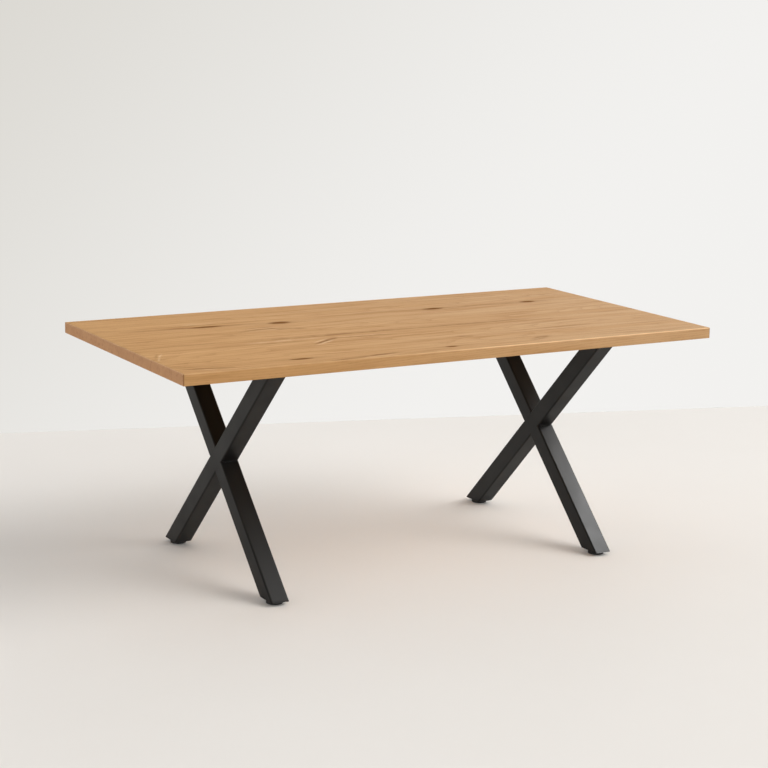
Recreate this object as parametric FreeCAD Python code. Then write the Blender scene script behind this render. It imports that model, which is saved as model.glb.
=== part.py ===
import FreeCAD, Part
import math
import os

# Sawbuck dining table: a solid oak top on two welded steel X frames with levelling feet.
# Millimetres. The origin is on the floor under the middle of the top; X runs along the table,
# Y from the front to the back and Z up. Left is at -X and front at -Y.

# The whole table
table_length = 1870.0
table_width = 950.0
table_height = 750.0
cut_overrun = 5.0

# The oak top: boards from the back edge to the front, glued edge to edge on loose tongues
top_thickness = 35.0
board_names = ("back", "back_middle", "front_middle", "front")
board_width_shares = (0.25, 0.33, 0.20, 0.22)
arris_round = 2.0
tongue_names = ("back", "middle", "front")
tongue_thickness = 6.0
tongue_width = 24.0
tongue_end_stop = 60.0
groove_clearance = 0.5

# The X frames of square steel tube, set in from the ends and the long edges of the top
frame_end_inset = 343.0
head_edge_inset = 127.0
foot_edge_inset = 112.0
tube_size = 60.0
tube_wall = 2.5
tube_bend_radius = 2.5
weld_leg = 4.0
weld_groove_share = 0.6

# The flat plate on top of each frame, slotted so that the oak can move with the seasons
plate_width = 80.0
plate_thickness = 6.0
plate_corner_radius = 10.0
plate_end_wall = 8.0
slot_clearance = 0.5
slot_play = 11.0
mid_bolt_share = 0.68

# The screws that hold the top: button heads, washers, and threaded inserts let into the oak
bolt_diameter = 8.0
bolt_tip_gap = 2.0
bolt_head_diameter = 14.0
bolt_head_height = 4.4
bolt_head_crown_share = 0.65
bolt_head_rim_share = 0.3
bolt_socket_flats = 5.0
bolt_socket_depth = 2.6
bolt_tip_chamfer = 1.0
washer_diameter = 22.0
washer_thickness = 2.0
washer_hole_clearance = 0.2
washer_gap = 3.0
insert_wall = 1.95
insert_length = 13.0
insert_fit_clearance = 0.05
insert_hole_margin = 1.0

# The levelling feet: a moulded pad that swivels on the head of a threaded stud
foot_plate_thickness = 4.0
foot_travel = 10.0
pad_diameter = 52.0
pad_height = 7.5
pad_rim_chamfer = 1.2
pad_sole_thickness = 2.6
pad_gap = 0.2
stud_diameter = 10.0
stud_head_diameter = 17.0
stud_head_height = 2.0
stud_head_play = 0.2
stud_hex_flats = 17.0
stud_hex_height = 3.8
stud_tip_margin = 1.0
stud_tip_chamfer = 1.0
swivel_clearance = 0.1
nut_flats = 17.0
nut_height = 6.0
thread_clearance = 0.05
stud_hole_clearance = 0.4

# Sizes, levels and angles that follow from the sizes above
frame_spacing = table_length - 2 * frame_end_inset
head_spread = table_width - 2 * head_edge_inset
foot_spread = table_width - 2 * foot_edge_inset
tube_corner_radius = tube_bend_radius + tube_wall
slot_width = bolt_diameter + 2 * slot_clearance
slot_length = slot_width + slot_play
insert_bore = bolt_diameter + 2 * thread_clearance
insert_diameter = insert_bore + 2 * insert_wall
underside_z = table_height - top_thickness
insert_hole_top_z = underside_z + insert_length + insert_hole_margin
head_z = underside_z - plate_thickness
hex_bottom_z = pad_height + pad_gap
foot_z = hex_bottom_z + stud_hex_height
tube_bottom_z = foot_z + foot_plate_thickness
nut_top_z = tube_bottom_z + nut_height
stud_top_z = nut_top_z + foot_travel + stud_tip_margin
leg_run = (foot_spread + head_spread) / 2
leg_rise = head_z - foot_z
leg_length = math.hypot(leg_run, leg_rise)
lean = math.atan2(leg_run, leg_rise)
crossing_z = foot_z + leg_rise * foot_spread / (foot_spread + head_spread)
head_half_length = tube_size / 2 / math.cos(lean)

FRAMES = {"left": -frame_spacing / 2, "right": frame_spacing / 2}
FEET = {"front": -foot_spread / 2, "back": foot_spread / 2}
X_AXIS = FreeCAD.Vector(1, 0, 0)
Z_AXIS = FreeCAD.Vector(0, 0, 1)
THROUGH, CROSSED = 1, -1


def save(node, *solids):
    """Writes one node as one solid or as a group of separate solids."""
    shape = solids[0] if len(solids) == 1 else Part.makeCompound(list(solids))
    shape.exportStep(os.path.join("parts", node + ".step"))


def box(x_span, y_span, z_span):
    """A block between the two ends of each span."""
    corner = FreeCAD.Vector(x_span[0], y_span[0], z_span[0])
    sizes = [span[1] - span[0] for span in (x_span, y_span, z_span)]
    return Part.makeBox(*sizes, corner)


def cylinder(diameter, x, y, bottom_z, top_z):
    """An upright round bar or bore."""
    return Part.makeCylinder(diameter / 2, top_z - bottom_z, FreeCAD.Vector(x, y, bottom_z))


def prism(points, along):
    """A closed outline of points, carried along a vector."""
    return Part.Face(Part.makePolygon(points + points[:1])).extrude(along)


def turned(outline, y):
    """A solid of revolution about an upright axis, from an outline of radii and levels."""
    points = [FreeCAD.Vector(radius, 0, z) for radius, z in outline]
    solid = Part.Face(Part.makePolygon(points + points[:1])).revolve(FreeCAD.Vector(0, 0, 0), Z_AXIS, 360)
    return solid.translated(FreeCAD.Vector(0, y, 0))


def hexagon(flats, x, y, bottom_z, top_z):
    """An upright hexagonal bar, given by its size across flats."""
    radius = flats / 2 / math.cos(math.pi / 6)
    corners = []
    for side in range(6):
        turn = side * math.pi / 3
        corners.append(FreeCAD.Vector(x + radius * math.cos(turn), y + radius * math.sin(turn), bottom_z))
    return prism(corners, Z_AXIS * (top_z - bottom_z))


def rounded_rectangle(width, depth, radius):
    """A flat face with quarter-round corners, centred on the origin; a slot where two corners meet."""
    centre_x, centre_y = width / 2 - radius, depth / 2 - radius
    signs = ((1, 1), (-1, 1), (-1, -1), (1, -1))
    corners = []
    for quarter, (sign_x, sign_y) in enumerate(signs):
        arc = []
        for eighth in range(3):
            turn = math.pi / 2 * quarter + math.pi / 4 * eighth
            x = sign_x * centre_x + radius * math.cos(turn)
            y = sign_y * centre_y + radius * math.sin(turn)
            arc.append(FreeCAD.Vector(x, y, 0))
        corners.append(arc)
    edges = []
    for arc, following in zip(corners, corners[1:] + corners[:1]):
        edges.append(Part.Arc(*arc).toShape())
        if not math.isclose(arc[-1].distanceToPoint(following[0]), 0, abs_tol=Part.Precision.confusion()):
            edges.append(Part.LineSegment(arc[-1], following[0]).toShape())
    return Part.Face(Part.Wire(edges))


def bolt_rows():
    """Places across the table of the screws in one plate: outside the tubes, inside them, and midway."""
    washer_reach = weld_leg + washer_gap + washer_diameter / 2
    outer = head_spread / 2 + head_half_length + washer_reach
    inner = (head_spread / 2 - head_half_length - washer_reach) * mid_bolt_share
    return (-outer, -inner, 0, inner, outer)


def top_boards():
    """The oak boards, with eased outer edges, tongue grooves along the joints and insert holes."""
    half_length = table_length / 2
    tongue_half = half_length - tongue_end_stop
    middle_z = underside_z + top_thickness / 2
    tongue_z = (middle_z - tongue_thickness / 2, middle_z + tongue_thickness / 2)
    joints = [table_width / 2]
    for share in board_width_shares:
        joints.append(joints[-1] - share * table_width)
    grooves = []
    for name, y in zip(tongue_names, joints[1:-1]):
        reach = tongue_width / 2
        save("tongue_" + name, box((-tongue_half, tongue_half), (y - reach, y + reach), tongue_z))
        groove_half = tongue_half + groove_clearance
        groove_reach = reach + groove_clearance
        grooves.append(box((-groove_half, groove_half), (y - groove_reach, y + groove_reach), tongue_z))
    hole_diameter = insert_diameter + 2 * insert_fit_clearance
    holes = []
    for x in FRAMES.values():
        for y in bolt_rows():
            holes.append(cylinder(hole_diameter, x, y, underside_z - cut_overrun, insert_hole_top_z))
    for name, back_y, front_y in zip(board_names, joints, joints[1:]):
        board = box((-half_length, half_length), (front_y, back_y), (underside_z, table_height))
        outer_sides = [y for y in (front_y, back_y) if math.isclose(abs(y), table_width / 2)]
        eased = []
        for edge in board.Edges:
            middle = edge.CenterOfMass
            at_end = math.isclose(abs(middle.x), half_length)
            outside = any(math.isclose(middle.y, y) for y in outer_sides)
            flat = not math.isclose(middle.z, middle_z)
            if (at_end and (flat or outside)) or (outside and flat):
                eased.append(edge)
        board = board.makeFillet(arris_round, eased)
        save("top_board_" + name, board.cut(grooves + holes))


def leg(size, radius, way):
    """A solid bar along one diagonal of an X, on X = 0, longer than the tube that is cut from it."""
    bar = rounded_rectangle(size, size, radius).extrude(Z_AXIS * (2 * leg_length))
    bar.translate(Z_AXIS * -leg_length)
    bar.rotate(FreeCAD.Vector(0, 0, 0), X_AXIS, math.degrees(way * lean))
    bar.translate(FreeCAD.Vector(0, 0, crossing_z))
    return bar


def beside(way, side):
    """All the room past one flank of a diagonal bar."""
    flank = tube_size / 2
    room = box((-tube_size, tube_size), (flank, flank + leg_length), (-leg_length, leg_length))
    if side < 0:
        room.rotate(FreeCAD.Vector(0, 0, 0), Z_AXIS, math.degrees(math.pi))
    room.rotate(FreeCAD.Vector(0, 0, 0), X_AXIS, math.degrees(way * lean))
    room.translate(FreeCAD.Vector(0, 0, crossing_z))
    return room


def level_slice(low_z, high_z):
    """All the room between two levels, for cutting a leaning tube off flat."""
    return box((-tube_size, tube_size), (-leg_length, leg_length), (low_z, high_z))


def along_leg(way, outward, upward):
    """A point in the plane of the X, measured square to a diagonal and along it from the crossing."""
    y = outward * math.cos(lean) - way * upward * math.sin(lean)
    z = way * outward * math.sin(lean) + upward * math.cos(lean)
    return FreeCAD.Vector(0, y, crossing_z + z)


def crossing_welds():
    """The welds at the crossing: beads in the inner corners and flush groove welds at the sides."""
    flank = tube_size / 2
    bead_half = flank - tube_corner_radius
    spread = 2 * lean
    beads = []
    for side in (1, -1):
        for end in (1, -1):
            # the half tube leaves the through tube's flank at the angle between the two diagonals
            along = side * (flank / math.tan(spread)) + end * flank / math.sin(spread)
            corner = along_leg(THROUGH, side * flank, along)
            up_flank = along_leg(THROUGH, side * flank, along + end * weld_leg)
            lean_out = weld_leg * math.cos(spread) * side
            up_half = along_leg(THROUGH, side * (flank + weld_leg * math.sin(spread)), along + lean_out)
            outline = []
            for point in (corner, up_flank, up_half):
                outline.append(point - X_AXIS * bead_half)
            beads.append(prism(outline, X_AXIS * (2 * bead_half)))
    through = leg(tube_size, tube_corner_radius, THROUGH)
    crossed = leg(tube_size, tube_corner_radius, CROSSED)
    groove_depth = tube_corner_radius * weld_groove_share
    for side in (1, -1):
        # the half tube's outline, carried on past the flank into the hollow beside the rounded corner
        past_flank = beside(THROUGH, side)
        from_groove = past_flank.copy()
        from_groove.translate(along_leg(THROUGH, -side * groove_depth, 0) - along_leg(THROUGH, 0, 0))
        groove = crossed.common(from_groove).cut([through, past_flank])
        beads.extend(groove.Solids)
    return beads


def side_strip(way):
    """The flat part of a leaning tube's sides, and the room beyond them on both sides."""
    reach = tube_size / 2 - tube_corner_radius
    strip = box((-tube_size, tube_size), (-reach, reach), (-leg_length, leg_length))
    strip.rotate(FreeCAD.Vector(0, 0, 0), X_AXIS, math.degrees(way * lean))
    strip.translate(FreeCAD.Vector(0, 0, crossing_z))
    return strip


def plate_welds():
    """A bead round the head of each tube, on the underside of the plate."""
    flank = tube_size / 2
    bead_half = flank - tube_corner_radius
    beads = []
    for way in (THROUGH, CROSSED):
        head_y = -way * head_spread / 2
        for end in (1, -1):
            corner = FreeCAD.Vector(-bead_half, head_y + end * head_half_length, head_z)
            out = FreeCAD.Vector(0, end * weld_leg, 0)
            down = FreeCAD.Vector(0, way * weld_leg * math.sin(lean), -weld_leg * math.cos(lean))
            beads.append(prism([corner, corner + out, corner + down], X_AXIS * (2 * bead_half)))
        bead_reach = head_half_length - tube_corner_radius / math.cos(lean)
        for side in (1, -1):
            corner = FreeCAD.Vector(side * flank, head_y - bead_reach, head_z)
            out = FreeCAD.Vector(side * weld_leg, 0, 0)
            drop = FreeCAD.Vector(0, 0, -weld_leg)
            bead = prism([corner, corner + out, corner + drop], FreeCAD.Vector(0, 2 * bead_reach, 0))
            beads.append(bead.common(side_strip(way)))
    return beads


def top_plate():
    """The flat bar under the top, round at its corners, with a slot for each screw."""
    half_length = bolt_rows()[-1] + slot_length / 2 + plate_end_wall
    outline = rounded_rectangle(plate_width, 2 * half_length, plate_corner_radius)
    plate = outline.extrude(Z_AXIS * plate_thickness)
    plate.translate(Z_AXIS * head_z)
    slots = []
    for y in bolt_rows():
        slot = rounded_rectangle(slot_width, slot_length, slot_width / 2)
        slot.translate(FreeCAD.Vector(0, y, head_z - cut_overrun))
        slots.append(slot.extrude(Z_AXIS * (plate_thickness + 2 * cut_overrun)))
    return plate.cut(slots)


def plate_screw(y):
    """A button-head screw: domed head with a hexagon socket, and a plain shank up into the insert."""
    seat_z = head_z - washer_thickness
    low_z = seat_z - bolt_head_height
    tip_z = insert_hole_top_z - bolt_tip_gap
    rim = bolt_head_diameter / 2
    crown = rim * bolt_head_crown_share
    rim_z = seat_z - bolt_head_height * bolt_head_rim_share
    shank = bolt_diameter / 2
    tip = shank - bolt_tip_chamfer
    outline = [(0, low_z), (crown, low_z), (rim, rim_z), (rim, seat_z), (shank, seat_z)]
    outline += [(shank, tip_z - bolt_tip_chamfer), (tip, tip_z), (0, tip_z)]
    screw = turned(outline, y)
    return screw.cut(hexagon(bolt_socket_flats, 0, y, low_z - cut_overrun, low_z + bolt_socket_depth))


def washer(y):
    """A flat washer between the screw's head and the slotted plate."""
    bottom_z = head_z - washer_thickness
    hole_diameter = bolt_diameter + 2 * washer_hole_clearance
    hole = cylinder(hole_diameter, 0, y, bottom_z - cut_overrun, head_z + cut_overrun)
    return cylinder(washer_diameter, 0, y, bottom_z, head_z).cut(hole)


def threaded_insert(y):
    """A sleeve let into the underside of the oak, flush with it, that takes the screw."""
    top_z = underside_z + insert_length
    bore = cylinder(insert_bore, 0, y, underside_z - cut_overrun, top_z + cut_overrun)
    return cylinder(insert_diameter, 0, y, underside_z, top_z).cut(bore)


def foot_plate(way, y):
    """The plate that closes a tube's lower end, cut to the leaning tube's outline, bored for the stud."""
    plate = leg(tube_size, tube_corner_radius, way).common(level_slice(foot_z, tube_bottom_z))
    hole_diameter = stud_diameter + 2 * stud_hole_clearance
    return plate.cut(cylinder(hole_diameter, 0, y, foot_z - cut_overrun, tube_bottom_z + cut_overrun))


def weld_nut(y):
    """The hexagon nut on the foot plate, inside the tube."""
    bore_diameter = stud_diameter + 2 * thread_clearance
    bore = cylinder(bore_diameter, 0, y, tube_bottom_z - cut_overrun, nut_top_z + cut_overrun)
    return hexagon(nut_flats, 0, y, tube_bottom_z, nut_top_z).cut(bore)


def foot_pad(y):
    """The moulded round pad, with an undercut socket that holds the stud's head."""
    rim = pad_diameter / 2
    inner_rim = rim - pad_rim_chamfer
    socket = stud_head_diameter / 2 + swivel_clearance
    throat = stud_diameter / 2 + swivel_clearance
    socket_top_z = pad_sole_thickness + stud_head_height + stud_head_play
    outline = [(0, 0), (inner_rim, 0), (rim, pad_rim_chamfer), (rim, pad_height - pad_rim_chamfer)]
    outline += [(inner_rim, pad_height), (throat, pad_height), (throat, socket_top_z)]
    outline += [(socket, socket_top_z), (socket, pad_sole_thickness), (0, pad_sole_thickness)]
    return turned(outline, y)


def foot_stud(y):
    """The levelling stud: a disc head in the pad, a hexagon for the spanner, and the threaded shank."""
    shank = stud_diameter / 2
    head = stud_head_diameter / 2
    tip = shank - stud_tip_chamfer
    head_top_z = pad_sole_thickness + stud_head_height
    outline = [(0, pad_sole_thickness), (head, pad_sole_thickness), (head, head_top_z)]
    outline += [(shank, head_top_z), (shank, stud_top_z - stud_tip_chamfer)]
    outline += [(tip, stud_top_z), (0, stud_top_z)]
    return turned(outline, y).fuse(hexagon(stud_hex_flats, 0, y, hex_bottom_z, foot_z))


def x_frame():
    """One X frame on X = 0, as lists of solids by node name."""
    hollow = tube_size - 2 * tube_wall
    standing = level_slice(tube_bottom_z, head_z)
    tubes = {}
    for way in (THROUGH, CROSSED):
        skin = leg(tube_size, tube_corner_radius, way).cut(leg(hollow, tube_bend_radius, way))
        tubes[way] = skin.common(standing)
    rows = bolt_rows()
    return {
        "through_tube": [tubes[THROUGH]],
        "upper_half_tube": [tubes[CROSSED].common(beside(THROUGH, 1))],
        "lower_half_tube": [tubes[CROSSED].common(beside(THROUGH, -1))],
        "crossing_welds": crossing_welds(),
        "top_plate": [top_plate()],
        "plate_welds": plate_welds(),
        "plate_screws": [plate_screw(y) for y in rows],
        "plate_washers": [washer(y) for y in rows],
        "threaded_inserts": [threaded_insert(y) for y in rows],
        "foot_plate_front": [foot_plate(CROSSED, FEET["front"])],
        "foot_plate_back": [foot_plate(THROUGH, FEET["back"])],
        "weld_nuts": [weld_nut(y) for y in FEET.values()],
        "foot_pad_front": [foot_pad(FEET["front"])],
        "foot_pad_back": [foot_pad(FEET["back"])],
        "foot_stud_front": [foot_stud(FEET["front"])],
        "foot_stud_back": [foot_stud(FEET["back"])],
    }


os.makedirs("parts", exist_ok=True)
top_boards()
for node, solids in x_frame().items():
    for side, x in FRAMES.items():
        save(node + "_" + side, *[solid.translated(X_AXIS * x) for solid in solids])
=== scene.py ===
import math
import bmesh
import bpy
import numpy as np
from mathutils import Matrix, Vector


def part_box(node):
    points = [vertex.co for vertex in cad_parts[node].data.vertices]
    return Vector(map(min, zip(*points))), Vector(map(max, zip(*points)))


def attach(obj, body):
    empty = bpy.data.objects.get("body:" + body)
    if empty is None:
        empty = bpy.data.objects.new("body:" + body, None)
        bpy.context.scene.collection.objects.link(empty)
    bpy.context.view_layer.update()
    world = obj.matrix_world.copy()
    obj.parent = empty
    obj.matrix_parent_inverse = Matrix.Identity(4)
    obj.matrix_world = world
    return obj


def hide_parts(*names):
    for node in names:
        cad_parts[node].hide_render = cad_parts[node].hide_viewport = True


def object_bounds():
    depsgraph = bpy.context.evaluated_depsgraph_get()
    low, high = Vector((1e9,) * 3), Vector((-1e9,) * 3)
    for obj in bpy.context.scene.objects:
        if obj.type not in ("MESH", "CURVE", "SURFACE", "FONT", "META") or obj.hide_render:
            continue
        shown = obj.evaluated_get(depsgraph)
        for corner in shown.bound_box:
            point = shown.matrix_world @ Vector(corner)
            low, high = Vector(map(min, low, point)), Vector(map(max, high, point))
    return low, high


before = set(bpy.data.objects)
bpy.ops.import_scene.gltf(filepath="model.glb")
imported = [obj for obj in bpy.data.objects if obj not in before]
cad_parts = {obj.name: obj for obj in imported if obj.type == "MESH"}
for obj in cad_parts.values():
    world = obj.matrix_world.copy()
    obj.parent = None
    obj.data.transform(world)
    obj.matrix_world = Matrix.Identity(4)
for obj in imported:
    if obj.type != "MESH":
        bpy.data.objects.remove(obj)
cad_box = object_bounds()


# The oak top: four solid boards, planed square and glued edge to edge, then sanded flush as one slab.
# The outer edges are eased with a sanding block, and the whole is rubbed with a hard oil that leaves
# the grain, the pores and the knots in plain sight.
arris = 0.002
arris_steps = 6
step_along = 0.020
step_across = 0.012
knot_dip = 0.00035
dip_reach = 2.5
dip_step_along = 0.003
dip_step_across = 0.002
merge_reach = 1e-6
crisp_angle = math.radians(30)


def skin(rows, capped=True, ring=False):
    """Points and faces of a skin over rows of points, each row a closed loop. Point n of a row joins point n
    of the next, and its neighbour in the row. The two end rows get one face each where the skin is capped,
    or join each other where it is a ring."""
    number = np.arange(rows.shape[0] * rows.shape[1]).reshape(rows.shape[:2])
    if ring:
        number = np.concatenate([number, number[:1]])
    here, there = number, np.roll(number, -1, axis=1)
    quads = np.stack([here[:-1], there[:-1], there[1:], here[1:]], axis=-1).reshape(-1, 4).tolist()
    if capped:
        quads += [number[0][::-1].tolist(), number[-1].tolist()]
    return rows.reshape(-1, 3), quads


def spread(low, high, coarse, fine, busy):
    """Places from low to high, a coarse step apart, and a fine step apart within reach of each busy
    middle."""
    places = [np.linspace(low, high, round((high - low) / coarse) + 1)]
    for middle, reach in busy:
        places.append(np.arange(max(low, middle - reach), min(high, middle + reach), fine))
    places = np.sort(np.concatenate(places))
    apart = np.append(True, np.diff(places) > fine / 2)
    apart[-1] = True
    return places[apart]


def board_skin(low, high, knots):
    """The skin of one board. A row is its section across the grain: along the top from front to back, and
    home along the underside. Round an eased edge the section follows a quarter circle of the arris radius.
    At an angle a round an eased end, a row stands arris * sin(a) further out, and each of its points draws
    in by arris * (1 - cos(a)) square to the surface. A knot sinks the surface by knot_dip * exp(-u*u - v*v),
    u and v being the distances along and across the grain over the knot's half sizes."""
    turn = np.linspace(0, math.pi / 2, arris_steps + 1)
    outer_front = math.isclose(low.y, cad_box[0].y, abs_tol=arris)
    outer_back = math.isclose(high.y, cad_box[1].y, abs_tol=arris)
    front_turn = turn[::-1] if outer_front else turn[:1]
    back_turn = turn if outer_back else turn[:1]
    front_y = low.y + outer_front * arris
    back_y = high.y - outer_back * arris
    busy_y = [(y, dip_reach * wide) for _, y, _, wide in knots]
    inner = spread(front_y, back_y, step_across, dip_step_across, busy_y)[1:-1]
    flat = np.zeros_like(inner)
    across = np.concatenate([front_y - outer_front * arris * np.sin(front_turn), inner,
                             back_y + outer_back * arris * np.sin(back_turn)])
    out_y = np.concatenate([-np.sin(front_turn), flat, np.sin(back_turn)])
    out_z = np.concatenate([np.cos(front_turn), flat + 1, np.cos(back_turn)])
    busy_x = [(x, dip_reach * long) for x, _, long, _ in knots]
    body = spread(low.x + arris, high.x - arris, step_along, dip_step_along, busy_x)
    end_out = arris * np.sin(turn[1:])
    end_in = arris * (1 - np.cos(turn[1:]))
    along = np.concatenate([low.x + arris - end_out[::-1], body, high.x - arris + end_out])
    draw = np.concatenate([end_in[::-1], np.zeros_like(body), end_in])
    x, y = np.meshgrid(along, across, indexing="ij")
    y = y - out_y * draw[:, None]
    sunk = arris * (1 - out_z) + out_z * draw[:, None]
    for knot_x, knot_y, long, wide in knots:
        sunk = sunk + knot_dip * np.exp(-((x - knot_x) / long) ** 2 - ((y - knot_y) / wide) ** 2)
    top = np.stack([x, y, high.z - sunk], axis=-1)
    under = np.stack([x, y, low.z + sunk], axis=-1)
    rows = np.concatenate([top, under[:, ::-1]], axis=1)
    points, faces = skin(rows, capped=False)
    count = rows.shape[1]
    step = np.arange(len(across) - 1)
    cap = np.stack([step, step + 1, count - 2 - step, count - 1 - step], axis=-1)
    return points, faces + cap.tolist() + (cap + (len(rows) - 1) * count).tolist()


def add_piece(name, skins, material, body, slot, *nodes):
    """One piece made of one or more skins. It moves with its body, and stands for the named nodes. Points
    that fall together, as where two eased edges of the oak end in a corner, are merged, faces are turned
    outwards, and edges sharper than 30 degrees stay crisp."""
    points, faces, start = [], [], 0
    for skin_points, skin_faces in skins:
        points.append(skin_points)
        faces.extend([[corner + start for corner in face] for face in skin_faces])
        start += len(skin_points)
    mesh = bpy.data.meshes.new(name)
    mesh.from_pydata(np.concatenate(points).tolist(), [], faces)
    shaped = bmesh.new()
    shaped.from_mesh(mesh)
    bmesh.ops.remove_doubles(shaped, verts=shaped.verts, dist=merge_reach)
    bmesh.ops.recalc_face_normals(shaped, faces=shaped.faces)
    shaped.to_mesh(mesh)
    shaped.free()
    mesh.shade_smooth()
    mesh.set_sharp_from_angle(angle=crisp_angle)
    mesh.materials.append(material)
    piece = bpy.data.objects.new(name, mesh)
    bpy.context.scene.collection.objects.link(piece)
    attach(piece, body)
    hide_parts(*nodes)


def add_node(tree, kind, inputs, **settings):
    """One shader node. Each input, by name or number, takes a value or another node's output."""
    made = tree.nodes.new("ShaderNode" + kind)
    for name, value in settings.items():
        setattr(made, name, value)
    for place, value in inputs.items():
        if isinstance(value, bpy.types.NodeSocket):
            tree.links.new(value, made.inputs[place])
        else:
            made.inputs[place].default_value = value
    return made


def calc(tree, operation, first, second=0.0):
    """One step of arithmetic on two numbers."""
    return add_node(tree, "Math", {0: first, 1: second}, operation=operation).outputs[0]


def times(tree, first, second):
    """The product of two numbers."""
    return calc(tree, "MULTIPLY", first, second)


def steer(tree, operation, first, second):
    """One step of arithmetic on two vectors."""
    return add_node(tree, "VectorMath", {0: first, 1: second}, operation=operation).outputs[0]


def fade(tree, value, low, high, start=0.0, end=1.0):
    """Eases from start to end while the value goes from low to high."""
    inputs = {"Value": value, "From Min": low, "From Max": high, "To Min": start, "To Max": end}
    return add_node(tree, "MapRange", inputs, interpolation_type="SMOOTHSTEP").outputs[0]


def tint(tree, share, base, other):
    """A colour that goes from the base to the other with the share."""
    return add_node(tree, "Mix", {0: share, 6: base, 7: other}, data_type="RGBA").outputs[2]


def cloud(tree, place, waves, detail, seed):
    """Smooth noise about 0.5, with so many waves to the metre along X, Y and Z."""
    stretched = steer(tree, "MULTIPLY", place, waves)
    inputs = {"Vector": stretched, "W": seed, "Scale": 1.0, "Detail": detail, "Roughness": 0.55}
    return add_node(tree, "TexNoise", inputs, noise_dimensions="4D").outputs


def start_group(name, inputs, outputs):
    """An empty shader node group: the group, what it is given, and where its results go."""
    group = bpy.data.node_groups.new(name, "ShaderNodeTree")
    for direction, sockets in (("INPUT", inputs), ("OUTPUT", outputs)):
        for socket, kind in sockets.items():
            group.interface.new_socket(name=socket, in_out=direction, socket_type="NodeSocket" + kind)
    given = group.nodes.new("NodeGroupInput").outputs
    results = group.nodes.new("NodeGroupOutput").inputs
    return group, given, results


def use_group(tree, group, inputs):
    """A group placed in a tree, with its own values."""
    return add_node(tree, "Group", inputs, node_tree=group).outputs


def start_finish(name):
    """A new material: the material, its tree, its shader, and the place in the table of the point that it
    colours."""
    material = bpy.data.materials.new(name)
    material.use_nodes = True
    tree = material.node_tree
    place = tree.nodes.new("ShaderNodeTexCoord").outputs["Object"]
    return material, tree, tree.nodes["Principled BSDF"], place


def lay_finish(tree, shader, colour, rough, sheen=0.5, bumps=None):
    """Gives a shader its colour, its roughness and the strength of its sheen, and bumps where they are given,
    as a height, a strength and a depth."""
    tree.links.new(colour, shader.inputs["Base Color"])
    tree.links.new(rough, shader.inputs["Roughness"])
    shader.inputs["Specular IOR Level"].default_value = sheen
    if bumps:
        height, strength, depth = bumps
        bump = add_node(tree, "Bump", {"Height": height, "Strength": strength, "Distance": depth})
        tree.links.new(bump.outputs[0], shader.inputs["Normal"])


def grain_group():
    """Oak as a solid: growth rings are circles round a heart line that runs along the board, a little aslant
    and bent by slow noise. With r the share of a ring, it starts dark and clears as (1 - r) ** 2.5. Streaks
    are noise drawn out along the grain, pores are its finest threads, and they crowd the start of each
    ring."""
    bend_reach = 0.045
    rings_per_metre = 230.0
    group, given, results = start_group(
        "oak_grain", {"Place": "Vector", "Heart": "Vector", "Slant": "Vector", "Seed": "Float"},
        {"Ring": "Float", "Streak": "Float", "Broad": "Float", "Pores": "Float"})
    drift = cloud(group, given["Place"], (1.3, 7.0, 7.0), 2.0, given["Seed"])["Color"]
    drift = steer(group, "SUBTRACT", drift, (0.5, 0.5, 0.5))
    drift = steer(group, "MULTIPLY", drift, (0.0, bend_reach, bend_reach))
    bent = steer(group, "ADD", given["Place"], drift)
    along = add_node(group, "SeparateXYZ", {0: given["Place"]}).outputs[0]
    slant = add_node(group, "VectorMath", {0: given["Slant"], "Scale": along}, operation="SCALE").outputs[0]
    heart = steer(group, "ADD", given["Heart"], slant)
    spoke = steer(group, "MULTIPLY", steer(group, "SUBTRACT", bent, heart), (0.0, 1.0, 1.0))
    radius = add_node(group, "VectorMath", {0: spoke}, operation="LENGTH").outputs["Value"]
    uneven = cloud(group, bent, (0.6, 30.0, 30.0), 1.0, given["Seed"])["Fac"]
    inputs = {0: radius, 1: rings_per_metre, 2: uneven}
    rings = add_node(group, "Math", inputs, operation="MULTIPLY_ADD").outputs[0]
    ring = calc(group, "FRACT", rings)
    early = calc(group, "POWER", calc(group, "SUBTRACT", 1.0, ring), 2.5)
    threads = cloud(group, bent, (70.0, 1700.0, 1700.0), 1.0, given["Seed"])["Fac"]
    pores = times(group, fade(group, threads, 0.56, 0.68), fade(group, ring, 0.55, 0.1))
    streak = cloud(group, bent, (4.0, 75.0, 75.0), 5.0, given["Seed"])["Fac"]
    broad = cloud(group, bent, (1.6, 22.0, 22.0), 3.0, given["Seed"])["Fac"]
    for name, socket in (("Ring", early), ("Streak", streak), ("Broad", broad), ("Pores", pores)):
        group.links.new(socket, results[name])
    return group


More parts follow.
